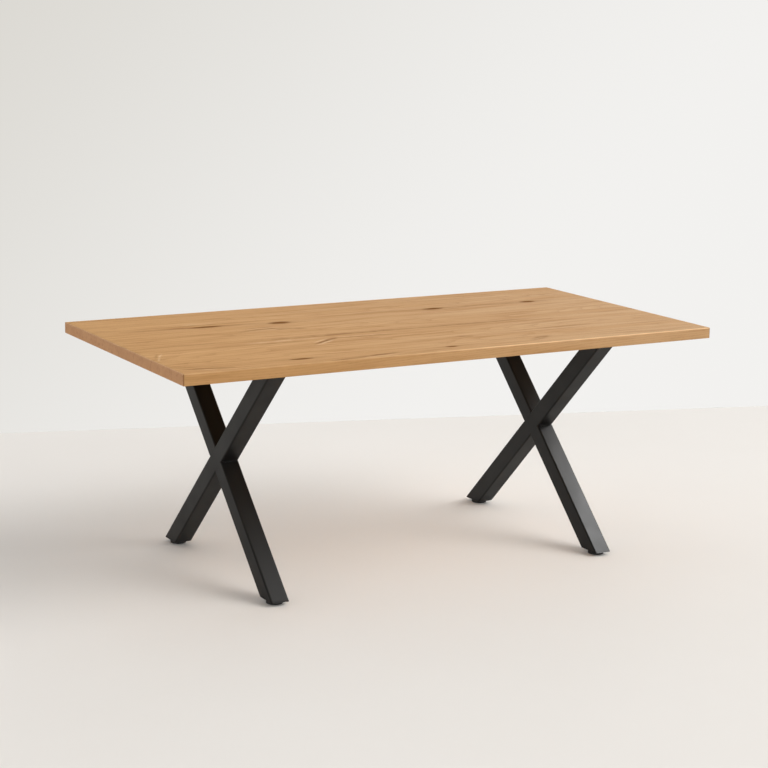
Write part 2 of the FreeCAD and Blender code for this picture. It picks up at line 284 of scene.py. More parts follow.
def knot_group():
    """A knot, where a branch ran down through the board. With u and v the distances along and across the
    grain over its half sizes, and d = u*u + v*v, the grain parts round it: it is read from a place nearer to
    the knot's middle line, by 0.8 * exp(-d / 4) of the distance from it. The core darkens inwards from a
    ragged edge near d = 1.5, and has rings of its own, by the sine of 16 times the root of the ragged d. A
    tail of dark grain runs out along the board, by exp(-1.2 * v*v) * exp(-0.75 * abs(u))."""
    group, given, results = start_group(
        "oak_knot", {"Place": "Vector", "Centre": "Vector", "Long": "Float", "Wide": "Float"},
        {"Place": "Vector", "Core": "Float", "Eye": "Float", "Tail": "Float"})
    rough = cloud(group, given["Place"], (40.0, 160.0, 160.0), 2.0, 3.0)["Fac"]
    offset = steer(group, "SUBTRACT", given["Place"], given["Centre"])
    parts = add_node(group, "SeparateXYZ", {0: offset}).outputs
    u = calc(group, "DIVIDE", parts[0], given["Long"])
    v = calc(group, "DIVIDE", parts[1], given["Wide"])
    v_squared = times(group, v, v)
    d = calc(group, "ADD", times(group, u, u), v_squared)
    near = calc(group, "EXPONENT", times(group, d, -0.25))
    shift = times(group, times(group, parts[1], near), -0.8)
    shift = add_node(group, "CombineXYZ", {1: shift}).outputs[0]
    ragged = calc(group, "ADD", d, times(group, calc(group, "SUBTRACT", rough, 0.5), 1.2))
    core = fade(group, ragged, 1.5, -0.1)
    root = calc(group, "SQRT", calc(group, "ABSOLUTE", ragged))
    rings = calc(group, "SINE", times(group, root, 16.0))
    thin = calc(group, "EXPONENT", times(group, v_squared, -1.2))
    far = calc(group, "EXPONENT", times(group, calc(group, "ABSOLUTE", u), -0.75))
    group.links.new(steer(group, "ADD", given["Place"], shift), results["Place"])
    group.links.new(core, results["Core"])
    group.links.new(times(group, core, fade(group, rings, -0.4, 0.9)), results["Eye"])
    group.links.new(times(group, thin, far), results["Tail"])
    return group


def mark_group():
    """A narrow mark in the grain: a line through a centre, turned by an angle, bent by a curve times the
    distance along it squared, and wandering a little across the board. The mask is exp(-v*v) across it, v
    being the distance from the line over its half width, comes and goes in patches, and eases to nothing at
    its two ends."""
    wander_reach = 0.014
    group, given, results = start_group(
        "oak_mark", {"Place": "Vector", "Centre": "Vector", "Angle": "Float", "Curve": "Float",
                     "Long": "Float", "Wide": "Float"}, {"Mask": "Float"})
    wander = cloud(group, given["Place"], (22.0, 22.0, 22.0), 2.0, 8.0)["Color"]
    wander = steer(group, "SUBTRACT", wander, (0.5, 0.5, 0.5))
    wander = steer(group, "MULTIPLY", wander, (0.0, wander_reach, 0.0))
    inputs = {"Vector": steer(group, "ADD", given["Place"], wander), "Center": given["Centre"]}
    inputs["Angle"] = times(group, given["Angle"], -1.0)
    turned = add_node(group, "VectorRotate", inputs, rotation_type="Z_AXIS").outputs[0]
    parts = add_node(group, "SeparateXYZ", {0: steer(group, "SUBTRACT", turned, given["Centre"])}).outputs
    bow = times(group, times(group, parts[0], parts[0]), given["Curve"])
    v = calc(group, "DIVIDE", calc(group, "SUBTRACT", parts[1], bow), given["Wide"])
    across = calc(group, "EXPONENT", times(group, times(group, v, v), -1.0))
    u = calc(group, "DIVIDE", calc(group, "ABSOLUTE", parts[0]), given["Long"])
    patches = cloud(group, given["Place"], (18.0, 18.0, 18.0), 2.0, 6.0)["Fac"]
    patchy = fade(group, patches, 0.32, 0.6, 0.4, 1.0)
    drawn = times(group, across, fade(group, u, 1.0, 0.35))
    group.links.new(times(group, drawn, patchy), results["Mask"])
    return group


oak_grain = grain_group()
oak_knot = knot_group()
oak_mark = mark_group()
oak_light = (0.588, 0.341, 0.151, 1.0)
# The paler tone towards the boards' right ends is painted light and sheen from the right.
oak_pale_painted_light = (0.594, 0.384, 0.216, 1.0)
oak_honey = (0.490, 0.267, 0.108, 1.0)
oak_dark = (0.345, 0.165, 0.059, 1.0)
oak_pore = (0.250, 0.115, 0.039, 1.0)
oak_knot_brown = (0.185, 0.064, 0.008, 1.0)
oak_knot_eye = (0.112, 0.035, 0.003, 1.0)
oak_scar = (0.700, 0.480, 0.280, 1.0)
oak_end = (0.410, 0.205, 0.176, 1.0)
# The colour of the painted highlight along the upper arris.
oak_arris_highlight = (0.880, 0.600, 0.350, 1.0)
oak_sheen = 0.01
edge_inner = 0.004
edge_outer = 0.001


def near_face(tree, value, face):
    """1 close to an outer face of the slab, easing to 0 a few millimetres inside it."""
    return fade(tree, value, face - edge_inner, face - edge_outer)


def oak_finish(name, heart, slant, seed, knots, dark_marks, light_marks):
    """Oiled oak for one board, with its own heart line, knots and marks. A knot is given by its x and y and
    its half length and half width, a mark by its x, y, angle in degrees, curve, half length, half width and
    share. The boards are painted paler towards their right ends: painted light and sheen from the right. The
    colour goes to honey with the broad streaks, to dark with the narrow ones and the start of each ring, then
    to the tones of the marks, the pores, and the knots' tails, cores and eyes. The long edges are nearer to
    honey, and the end grain is duller and redder. A painted highlight lies along the upper arris, most of all
    on the right of the long edges, and the upright corners are darker."""
    material, tree, shader, place = start_finish(name)
    cores, eyes, tails = 0.0, 0.0, 0.0
    grain_place = place
    for x, y, long, wide in knots:
        knot = use_group(tree, oak_knot, {"Place": place, "Centre": (x, y, 0.0), "Long": long, "Wide": wide})
        bend = steer(tree, "SUBTRACT", knot["Place"], place)
        grain_place = steer(tree, "ADD", grain_place, bend)
        cores = calc(tree, "MAXIMUM", knot["Core"], cores)
        eyes = calc(tree, "MAXIMUM", knot["Eye"], eyes)
        tails = calc(tree, "MAXIMUM", knot["Tail"], tails)
    grain = use_group(tree, oak_grain, {"Place": grain_place, "Heart": heart, "Slant": slant, "Seed": seed})
    masks = []
    for marks in (dark_marks, light_marks):
        mask = 0.0
        for x, y, angle, curve, long, wide, share in marks:
            inputs = {"Place": grain_place, "Centre": (x, y, 0.0), "Angle": math.radians(angle)}
            inputs.update({"Curve": curve, "Long": long, "Wide": wide})
            drawn = times(tree, use_group(tree, oak_mark, inputs)["Mask"], share)
            mask = calc(tree, "MAXIMUM", drawn, mask)
        masks.append(mask)
    dark_mask, light_mask = masks
    parts = add_node(tree, "SeparateXYZ", {0: place}).outputs
    to_end = near_face(tree, calc(tree, "ABSOLUTE", parts[0]), cad_box[1].x)
    to_side = near_face(tree, calc(tree, "ABSOLUTE", parts[1]), cad_box[1].y)
    to_top = near_face(tree, parts[2], cad_box[1].z)
    off_edge = calc(tree, "SUBTRACT", 1.0, calc(tree, "MAXIMUM", to_end, to_side))
    # Painted highlight: the upper arris is painted paler, most of all on the right of the long edges, and a
    # little at the ends.
    side_highlight = times(tree, to_side, fade(tree, parts[0], -0.4, 0.25, 0.25, 1.0))
    arris_highlight = times(tree, calc(tree, "MAXIMUM", side_highlight, times(tree, to_end, 0.25)), to_top)
    # The upright corners, where the ends meet the long edges, are darker.
    dark_corners = times(tree, to_end, to_side)
    layers = [
        (fade(tree, grain["Broad"], 0.62, 0.36, 0.0, 0.45), oak_honey),
        (fade(tree, grain["Streak"], 0.46, 0.74, 0.0, 0.60), oak_dark),
        (times(tree, grain["Ring"], 0.24), oak_dark),
        (times(tree, to_side, 0.3), oak_honey),
        (times(tree, to_end, 0.3), oak_end),
        (times(tree, light_mask, off_edge), oak_scar),
        (times(tree, dark_mask, off_edge), oak_pore),
        (times(tree, grain["Pores"], 0.50), oak_pore),
        (times(tree, tails, 0.75), oak_pore),
        (times(tree, cores, 0.95), oak_knot_brown),
        (times(tree, eyes, 0.50), oak_knot_eye),
        (arris_highlight, oak_arris_highlight),
        (times(tree, dark_corners, 0.75), oak_pore),
    ]
    # Painted light and sheen: each board is painted paler towards its right end, where the light comes from.
    colour = tint(tree, fade(tree, parts[0], -0.95, 0.95), oak_light, oak_pale_painted_light)
    for share, tone in layers:
        colour = tint(tree, share, colour, tone)
    rough = fade(tree, grain["Streak"], 0.3, 0.7, 0.68, 0.78)
    height = calc(tree, "SUBTRACT", times(tree, grain["Ring"], -0.25), grain["Pores"])
    lay_finish(tree, shader, colour, rough, oak_sheen, (height, 0.35, 0.0002))
    return material


boards = {
    "back": {
        "heart": (0.0, 0.30, 0.62), "slant": (0.0, 0.012, 0.020), "seed": 1.3,
        "knots": [],
        "dark": [(-0.55, 0.243, 0.0, 0.0, 0.36, 0.006, 0.45), (0.08, 0.242, 0.0, 0.0, 0.13, 0.009, 0.40)],
        "light": [(-0.56, 0.262, 0.0, 0.0, 0.07, 0.006, 0.5), (0.67, 0.280, 2.0, 0.0, 0.06, 0.006, 0.4)],
    },
    "back_middle": {
        "heart": (0.0, 0.02, 0.60), "slant": (0.0, -0.015, 0.030), "seed": 4.1,
        "knots": [(-0.560, 0.204, 0.062, 0.013), (-0.309, 0.183, 0.041, 0.020),
                  (0.295, 0.224, 0.042, 0.017), (0.680, 0.221, 0.033, 0.017)],
        "dark": [(-0.72, 0.213, -4.0, 0.0, 0.16, 0.007, 0.50), (-0.44, 0.199, -2.0, 0.0, 0.09, 0.006, 0.40),
                 (0.49, 0.222, 0.0, 0.0, 0.18, 0.007, 0.60), (-0.25, -0.0735, 0.0, 0.0, 0.36, 0.006, 0.60),
                 (0.25, -0.0735, 0.0, 0.0, 0.32, 0.005, 0.45), (-0.75, -0.071, 0.0, 0.0, 0.20, 0.006, 0.45),
                 (-0.40, 0.094, 0.0, -2.0, 0.13, 0.008, 0.85), (-0.38, 0.124, 0.0, -0.8, 0.14, 0.007, 0.55),
                 (-0.325, 0.068, -6.0, -2.0, 0.07, 0.007, 0.75)],
        "light": [(-0.40, 0.110, 0.0, -2.0, 0.11, 0.005, 0.45), (-0.40, 0.079, 0.0, -2.0, 0.11, 0.005, 0.45)],
    },
    "front_middle": {
        "heart": (0.0, -0.21, 0.58), "slant": (0.0, 0.022, 0.018), "seed": 7.7,
        "knots": [],
        "dark": [(-0.325, -0.172, 34.0, 0.0, 0.090, 0.006, 1.0), (-0.25, -0.087, 0.0, 0.0, 0.36, 0.008, 0.90),
                 (-0.294, -0.150, 34.0, 0.0, 0.045, 0.010, 1.0), (0.20, -0.086, 0.0, 0.0, 0.36, 0.007, 0.65),
                 (-0.17, -0.146, -2.0, 0.0, 0.14, 0.006, 0.75), (-0.46, -0.145, -2.0, 0.0, 0.10, 0.007, 0.70),
                 (0.50, -0.257, 0.0, 0.0, 0.14, 0.008, 0.40),
                 (-0.903, -0.203, 64.0, 0.0, 0.050, 0.004, 0.45)],
        "light": [(-0.43, -0.116, 0.0, 0.0, 0.17, 0.007, 0.80),
                  (-0.330, -0.158, 34.0, 0.0, 0.060, 0.004, 0.80),
                  (-0.335, -0.192, 34.0, 0.0, 0.070, 0.005, 0.85),
                  (-0.20, -0.127, -2.0, 0.0, 0.14, 0.005, 0.60),
                  (-0.902, -0.223, 64.0, -1.2, 0.070, 0.003, 1.0)],
    },
    "front": {
        "heart": (0.0, -0.34, 0.63), "slant": (0.0, -0.010, 0.026), "seed": 9.2,
        "knots": [(-0.527, -0.405, 0.041, 0.011), (-0.018, -0.416, 0.023, 0.009)],
        "dark": [(-0.335, -0.450, 8.6, 0.0, 0.160, 0.008, 1.0),
                 (-0.835, -0.425, -11.0, 0.0, 0.11, 0.007, 0.75),
                 (-0.86, -0.395, -8.0, 0.0, 0.09, 0.006, 0.50),
                 (0.32, -0.397, 11.5, 0.0, 0.055, 0.005, 0.80),
                 (0.305, -0.414, 11.5, 0.0, 0.050, 0.005, 0.65),
                 (0.335, -0.382, 11.0, 0.0, 0.040, 0.005, 0.60),
                 (0.112, -0.283, -17.0, 0.0, 0.034, 0.008, 0.85)],
        "light": [(-0.31, -0.463, 8.6, 0.0, 0.14, 0.004, 0.60),
                  (0.315, -0.405, 11.5, 0.0, 0.055, 0.003, 0.50),
                  (-0.80, -0.448, -11.0, 0.0, 0.11, 0.004, 0.40)],
    },
}
for board_name, board in boards.items():
    node = "top_board_" + board_name
    low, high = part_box(node)
    oak = oak_finish("oak_" + board_name, board["heart"], board["slant"], board["seed"], board["knots"],
                     board["dark"], board["light"])
    add_piece("oak_board_" + board_name, [board_skin(low, high, board["knots"])], oak, "table", "oak", node)


# The loose tongues in the glue joints: strips of plain beech, sawn and sanded, hidden inside the top.
# They keep the boards level with each other while the glue sets.
beech_pale = (0.66, 0.45, 0.27, 1.0)
beech_streak = (0.52, 0.32, 0.17, 1.0)


def beech_finish():
    """Sawn beech: pale, with fine streaks along the strip and saw marks across it."""
    material, tree, shader, place = start_finish("sawn_beech")
    inputs = {"Place": place, "Heart": (0.0, 0.0, 0.4), "Slant": (0.0, 0.01, 0.01), "Seed": 12.0}
    grain = use_group(tree, oak_grain, inputs)
    saw = cloud(tree, place, (260.0, 20.0, 20.0), 1.0, 2.0)["Fac"]
    colour = tint(tree, grain["Streak"], beech_pale, beech_streak)
    rough = fade(tree, saw, 0.3, 0.7, 0.6, 0.75)
    lay_finish(tree, shader, colour, rough, bumps=(saw, 0.3, 0.0003))
    return material


def dress(material, *nodes):
    """Gives CAD nodes that keep their own shape a finish."""
    for node in nodes:
        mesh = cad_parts[node].data
        mesh.materials.clear()
        mesh.materials.append(material)


dress(beech_finish(), "tongue_back", "tongue_middle", "tongue_front")


# The tubes of the two X frames: square steel tube with round corners, sawn to length and coated with satin
# black powder after welding. One tube of each X runs through, and the other is two halves, cut to the flanks
# of the first.
tube_half = 0.030
tube_wall = 0.0025
tube_corner = 0.005
tube_rows = 25
corner_points = 9
corner_ease = 0.0006
foot_reach = 0.363
head_reach = 0.348
foot_z = 0.0115
tube_low_z = 0.0155
head_z = 0.709
frame_x = {"left": -0.592, "right": 0.592}
lean = math.atan2(foot_reach + head_reach, head_z - foot_z)
crossing_z = foot_z + (head_z - foot_z) * foot_reach / (foot_reach + head_reach)
through, crossed = 1, -1
powder_black = (0.003, 0.0029, 0.0028, 1.0)
powder_grey = (0.006, 0.0058, 0.0055, 1.0)
powder_sheen = 0.22


def relief_group():
    """The skin of a sprayed or moulded finish: small round bumps, as in orange peel, and slow patches."""
    group, given, results = start_group("fine_relief", {"Place": "Vector", "Waves": "Float"},
                                        {"Height": "Float", "Patch": "Float"})
    scaled = add_node(group, "VectorMath", {0: given["Place"], "Scale": given["Waves"]}, operation="SCALE")
    bumps = cloud(group, scaled.outputs[0], (1.0, 1.0, 1.0), 2.0, 1.0)["Fac"]
    group.links.new(bumps, results["Height"])
    group.links.new(cloud(group, given["Place"], (9.0, 9.0, 9.0), 3.0, 5.0)["Fac"], results["Patch"])
    return group


fine_relief = relief_group()


def powder_finish():
    """Satin black powder coat: nearly black, a little paler in patches, with a fine orange peel."""
    material, tree, shader, place = start_finish("black_powder_coat")
    relief = use_group(tree, fine_relief, {"Place": place, "Waves": 650.0})
    colour = tint(tree, relief["Patch"], powder_black, powder_grey)
    rough = fade(tree, relief["Patch"], 0.3, 0.7, 0.45, 0.52)
    lay_finish(tree, shader, colour, rough, powder_sheen, (relief["Height"], 0.25, 0.0001))
    return material


powder_coat = powder_finish()


def square_loop(half, radius):
    """A loop round a square with round corners, as places across and outward. Each corner is a quarter circle
    of the radius, with a short straight piece before and after it that keeps the flat sides flat."""
    turn = np.linspace(0, math.pi / 2, corner_points)
    quarter = np.arange(4)[:, None] * math.pi / 2
    angle = quarter + turn[None]
    middle = quarter + math.pi / 4
    inner = (half - radius) * math.sqrt(2)
    spots = np.stack([inner * np.cos(middle) + radius * np.cos(angle),
                      inner * np.sin(middle) + radius * np.sin(angle)], axis=-1)
    before = spots[:, :1] + corner_ease * np.stack([np.sin(quarter), -np.cos(quarter)], axis=-1)
    after = spots[:, -1:] + corner_ease * np.stack([-np.cos(quarter), -np.sin(quarter)], axis=-1)
    return np.concatenate([before, spots, after], axis=1).reshape(-1, 2)


def on_leg(way, across, outward, upward, x):
    """Points of a leaning tube: across it along X, outward square to it, and upward along it from the
    crossing."""
    y = outward * math.cos(lean) - way * upward * math.sin(lean)
    z = crossing_z + way * outward * math.sin(lean) + upward * math.cos(lean)
    return np.stack(np.broadcast_arrays(x + across, y, z), axis=-1)


def to_level(way, outward, z):
    """How far up a tube each of its lines meets a level."""
    return (z - crossing_z - way * outward * math.sin(lean)) / math.cos(lean)


def to_flank(outward, side):
    """How far up a half tube each of its lines meets one flank of the through tube."""
    return (side * tube_half - outward * math.cos(2 * lean)) / math.sin(2 * lean)


def tube_skin(x, way, low_end, high_end):
    """A hollow tube: its outer loop carried straight from the low end to the high end, then its inner loop
    carried back. The ends give how far up each line of the tube starts and stops."""
    share = np.linspace(0, 1, tube_rows)[:, None]
    walls = []
    for half, radius in ((tube_half, tube_corner), (tube_half - tube_wall, tube_corner - tube_wall)):
        across, outward = square_loop(half, radius).T
        upward = low_end(outward) + (high_end(outward) - low_end(outward)) * share
        walls.append(on_leg(way, across[None], outward[None], upward, x))
    return skin(np.concatenate([walls[0], walls[1][::-1]]), capped=False, ring=True)


tubes = {
    "through_tube": (through, lambda outward: to_level(through, outward, tube_low_z),
                     lambda outward: to_level(through, outward, head_z)),
    "upper_half_tube": (crossed, lambda outward: to_flank(outward, 1),
                        lambda outward: to_level(crossed, outward, head_z)),
    "lower_half_tube": (crossed, lambda outward: to_level(crossed, outward, tube_low_z),
                        lambda outward: to_flank(outward, -1)),
}
for side_name, x in frame_x.items():
    for tube_name, (way, low_end, high_end) in tubes.items():
        node = tube_name + "_" + side_name
        add_piece("steel_" + node, [tube_skin(x, way, low_end, high_end)], powder_coat,
                  "table", "black_steel", node)


# The welds of the X frames, laid by hand and coated with the tubes: a rippled bead in each inner corner of
# the crossing and round the head of each tube, and flush runs on the flat sides, where the saw cuts meet.
weld_leg = 0.004
weld_pitch = 0.0028
bead_points = 9
ripple_rows = 8
flush_half = 0.0025
flush_inset = 0.001
flush_proud = 0.00015
flush_deep = 0.002
head_half_length = tube_half / math.cos(lean)
flat_half = tube_half - tube_corner


def bead_skin(corner, first, second, along, length):
    """A weld bead in an inner corner. Round its face an angle a goes from the first leg to the second: a
    point stands out by cos(a) ** 0.85 of the first and sin(a) ** 0.85 of the second, and the root closes the
    loop. Along the bead the size goes up and down by 7 percent with each ripple, the ripples bow forward by
    0.45 of their pitch in the middle of the face, and the two ends taper over 1.5 times the leg."""
    a = np.linspace(0, math.pi / 2, bead_points)
    run = np.linspace(0, length, max(12, round(length / weld_pitch * ripple_rows)))[:, None]
    bow = 0.45 * weld_pitch * np.sin(2 * a)
    size = 1 + 0.07 * np.cos(2 * math.pi * (run - bow) / weld_pitch)
    end = np.minimum(run, length - run) / (1.5 * weld_leg)
    size = size * np.sqrt(np.clip(end, 0.15, 1))
    out_first = (size * np.cos(a) ** 0.85)[..., None] * first
    out_second = (size * np.sin(a) ** 0.85)[..., None] * second
    travel = run[..., None] * along
    face = corner + out_first + out_second + travel
    root = corner + travel
    return skin(np.concatenate([face, root], axis=1))


def flush_skin(middle, across, along, outward):
    """A weld dressed flush: a lens across its width, nearly flat where it stands proud and deeper inside the
    joint. With s the share of its half length, it narrows at its ends as the root of 1 - s ** 8."""
    s = np.linspace(-1, 1, 41)[:, None]
    a = np.linspace(0, 2 * math.pi, 17)[:-1]
    narrow = np.sqrt(np.clip(1 - s ** 8, 0.02, 1))
    width = (np.cos(a) * narrow)[..., None] * across
    lift = np.where(np.sin(a) > 0, flush_proud, flush_deep) * np.sin(a) * narrow
    return skin(middle + width + s[..., None] * along + lift[..., None] * outward)


def vector(*parts):
    """A direction or a point as an array."""
    return np.array(parts, dtype=float)


through_out = vector(0, math.cos(lean), math.sin(lean))
through_up = vector(0, -math.sin(lean), math.cos(lean))
half_up = math.sin(2 * lean) * through_out + math.cos(2 * lean) * through_up
for side_name, x in frame_x.items():
    crossing = vector(x, 0, crossing_z)
    joints = []
    for side in (1, -1):
        middle_up = side * tube_half / math.tan(2 * lean)
        reach_up = tube_half / math.sin(2 * lean)
        for end in (1, -1):
            corner = crossing + side * tube_half * through_out + (middle_up + end * reach_up) * through_up
            joints.append(bead_skin(corner - vector(flat_half, 0, 0), end * weld_leg * through_up,
                                    side * weld_leg * half_up, vector(1, 0, 0), 2 * flat_half))
        for face in (1, -1):
            middle = crossing + vector(face * tube_half, 0, 0)
            middle = middle + side * (tube_half - flush_inset) * through_out
            joints.append(flush_skin(middle + middle_up * through_up, flush_half * through_out,
                                     (reach_up - tube_corner) * through_up, vector(face, 0, 0)))
    node = "crossing_welds_" + side_name
    add_piece("steel_" + node, joints, powder_coat, "table", "black_steel", node)
    heads = []
    for way in (through, crossed):
        head = vector(x, -way * head_reach, head_z)
        down = weld_leg * vector(0, way * math.sin(lean), -math.cos(lean))
        reach = head_half_length - tube_corner / math.cos(lean)
        for end in (1, -1):
            corner = head + vector(-flat_half, end * head_half_length, 0)
            out = vector(0, end * weld_leg, 0)
            heads.append(bead_skin(corner, out, down, vector(1, 0, 0), 2 * flat_half))
            corner = head + vector(end * tube_half, -reach, 0)
            out = vector(end * weld_leg, 0, 0)
            heads.append(bead_skin(corner, out, down, vector(0, 1, 0), 2 * reach))
    node = "plate_welds_" + side_name
    add_piece("steel_" + node, heads, powder_coat, "table", "black_steel", node)


# The top plates: flat steel bar under the oak, slotted so that the boards can move with the seasons, welded
# to the tubes and coated with them.
dress(powder_coat, "top_plate_left", "top_plate_right")


# The screws that hold the top: zinc-plated button heads on flat washers, driven into threaded inserts in the
# oak. Five to each plate.
screw_half = 0.004
screw_reach = 0.012
screw_head = 0.007
screw_head_height = 0.0044
screw_rim = 0.0008
crown_share = 0.62
edge_break = 0.0002
socket_flats = 0.005
socket_depth = 0.0026
drill_point = 0.0006
pole_radius = 0.0001
washer_half = 0.011
washer_hole = 0.0042
washer_thickness = 0.002
washer_roll = 0.0004
washer_gap = 0.003
washer_room = weld_leg + washer_gap + washer_half
inner_share = 0.68
outer_row = head_reach + head_half_length + washer_room
inner_row = (head_reach - head_half_length - washer_room) * inner_share
screw_rows = (-outer_row, -inner_row, 0.0, inner_row, outer_row)
turned_points = 48
around = np.linspace(0, 2 * math.pi, turned_points + 1)[:-1]
off_flat = (around + math.pi / 6) % (math.pi / 3) - math.pi / 6
zinc_blue = (0.60, 0.60, 0.62, 1.0)
zinc_warm = (0.68, 0.65, 0.58, 1.0)


def zinc_finish():
    """Bright zinc plate: a pale metal with a faint warm and blue bloom in patches and fine handling marks."""
    material, tree, shader, place = start_finish("bright_zinc")
    bloom = cloud(tree, place, (140.0, 140.0, 140.0), 2.0, 2.0)["Fac"]
    marks = cloud(tree, place, (900.0, 900.0, 250.0), 3.0, 6.0)["Fac"]
    colour = tint(tree, fade(tree, bloom, 0.3, 0.7), zinc_blue, zinc_warm)
    rough = fade(tree, marks, 0.3, 0.7, 0.24, 0.42)
    lay_finish(tree, shader, colour, rough, bumps=(marks, 0.2, 0.00005))
    shader.inputs["Metallic"].default_value = 1.0
    return material


bright_zinc = zinc_finish()


def turned_rows(x, y, radii, levels, flats=()):
    """Rows of a turned piece about an upright axis: a row is a circle of a radius at a level. A row whose
    number is among the flats is a hexagon instead: its radius is half its width across the flats over the
    cosine of the angle to the nearest flat's middle."""
    radius = np.repeat(np.array(radii)[:, None], len(around), axis=1)
    for row in flats:
        radius[row] = radius[row] / np.cos(off_flat)
    level = np.repeat(np.array(levels)[:, None], len(around), axis=1)
    return np.stack([x + radius * np.cos(around), y + radius * np.sin(around), level], axis=-1)


def screw_skin(x, y):
    """A button-head screw, head down: the dome is a quarter of an ellipse from its rim to its crown, and the
    socket is a hexagon with a drill point at its end."""
    seat = head_z - washer_thickness
    low = seat - screw_head_height
    socket = socket_flats / 2
    socket_end = low + socket_depth
    a = np.linspace(0, math.pi / 2, 8)[:-1]
    crown = crown_share * screw_head
    dome_radii = crown + (screw_head - crown) * np.cos(a)
    dome_levels = seat - screw_rim - (screw_head_height - screw_rim) * np.sin(a)
    radii = [screw_half, screw_half, screw_head - edge_break, *dome_radii, crown, socket + edge_break]
    levels = [seat + screw_reach, seat, seat, *dome_levels, low, low]
    radii += [socket, socket, pole_radius]
    levels += [low + edge_break, socket_end, socket_end + drill_point]
    last = len(radii)
    return skin(turned_rows(x, y, radii, levels, (last - 4, last - 3, last - 2)))


def washer_skin(x, y):
    """A stamped flat washer: on the lower side its outer edge is rolled and the edge of its hole is
    broken."""
    low = head_z - washer_thickness
    roll = washer_roll
    radii = [washer_hole, washer_hole + roll, washer_half - roll, washer_half - roll / 3, washer_half,
             washer_half, washer_hole]
    levels = [low + roll, low, low, low + roll / 3, low + roll, head_z, head_z]
    return skin(turned_rows(x, y, radii, levels), capped=False, ring=True)


for side_name, x in frame_x.items():
    for kind, one_skin in (("plate_screws_", screw_skin), ("plate_washers_", washer_skin)):
        node = kind + side_name
        add_piece("zinc_" + node, [one_skin(x, y) for y in screw_rows], bright_zinc,
                  "table", "zinc_steel", node)
    dress(bright_zinc, "threaded_inserts_" + side_name)


# The foot plates: flat steel cut to the outline of the leaning tube, welded over its lower end and dressed
# flush, with a hole for the stud. A nut is welded to each one inside the tube.
stud_hole = 0.0054
plate_break = 0.0005


def foot_plate_skin(x, y, way):
    """A plate with broken edges. Its outline at each level is the tube's own loop cut by that level, drawn in
    by the break at its upper and lower edge. Each point of the outline joins the point of the hole that lies
    in the same direction from the stud."""
    rows = []
    for level, draw in ((foot_z, plate_break), (foot_z + plate_break, 0),
                        (tube_low_z - plate_break, 0), (tube_low_z, plate_break)):
        across, outward = square_loop(tube_half - draw, tube_corner - draw).T
        rows.append(on_leg(way, across, outward, to_level(way, outward, level), x))
    angle = np.arctan2(rows[0][:, 1] - y, rows[0][:, 0] - x)
    for level in (tube_low_z, foot_z):
        rows.append(np.stack([x + stud_hole * np.cos(angle), y + stud_hole * np.sin(angle),
                              np.full_like(angle, level)], axis=-1))
    return skin(np.stack(rows), capped=False, ring=True)


for side_name, x in frame_x.items():
    for place_name, y, way in (("front", -foot_reach, crossed), ("back", foot_reach, through)):
        node = "foot_plate_" + place_name + "_" + side_name
        add_piece("steel_" + node, [foot_plate_skin(x, y, way)], powder_coat, "table", "black_steel", node)
    dress(bright_zinc, "weld_nuts_" + side_name)


# The levelling feet: a moulded nylon pad clipped on the head of a zinc-plated stud. A spanner on the stud's
# hexagon turns it in the nut, and that corner of the table goes up or down while the pad stays still on the
# floor.
pad_half = 0.026
pad_height = 0.0075
pad_rim = 0.0012
pad_fall = 0.0005
pad_sole = 0.0026
pad_fit = 0.0001
pad_lip_z = 0.0048
lead_in = 0.0015
lead_in_depth = 0.0004
stud_half = 0.005
stud_core = 0.0042
stud_neck = 0.0044
stud_head = 0.0085
stud_head_z = 0.0046
stud_head_break = 0.0003
stud_hex_flats = 0.017
hex_low_z = 0.0077
hex_cut = 0.0004
hex_land = 0.0001
hex_slope = math.radians(30)
stud_top_z = 0.0325
thread_pitch = 0.0015
thread_rows = 169
nylon_black = (0.012, 0.012, 0.012, 1.0)
nylon_grey = (0.024, 0.024, 0.025, 1.0)


def nylon_finish():
    """Black moulded nylon: a fine even spark texture, duller on its peaks and a little paler in patches."""
    material, tree, shader, place = start_finish("black_nylon")
    relief = use_group(tree, fine_relief, {"Place": place, "Waves": 1800.0})
    colour = tint(tree, relief["Patch"], nylon_black, nylon_grey)
    rough = fade(tree, relief["Height"], 0.3, 0.7, 0.5, 0.65)
    lay_finish(tree, shader, colour, rough, bumps=(relief["Height"], 0.4, 0.0001))
    return material


black_nylon = nylon_finish()


def pad_skin(x, y):
    """The pad: rims are quarter circles, the top falls a little to the outside, and an undercut socket in the
    middle holds the stud's head."""
    a = np.linspace(0, math.pi / 2, 6)
    low_rim = pad_half - pad_rim + pad_rim * np.sin(a), pad_rim - pad_rim * np.cos(a)
    side_z = pad_height - pad_rim - pad_fall
    high_rim = pad_half - pad_rim + pad_rim * np.cos(a), side_z + pad_rim * np.sin(a)
    throat = stud_half + pad_fit
    socket = stud_head + pad_fit
    socket_z = pad_sole - pad_fit
    radii = [pole_radius, *low_rim[0], *high_rim[0], throat + lead_in, throat, throat, socket, socket,
             pole_radius]
    levels = [0.0, *low_rim[1], *high_rim[1], pad_height, pad_height - lead_in_depth, pad_lip_z, pad_lip_z,
              socket_z, socket_z]
    return skin(turned_rows(x, y, radii, levels))


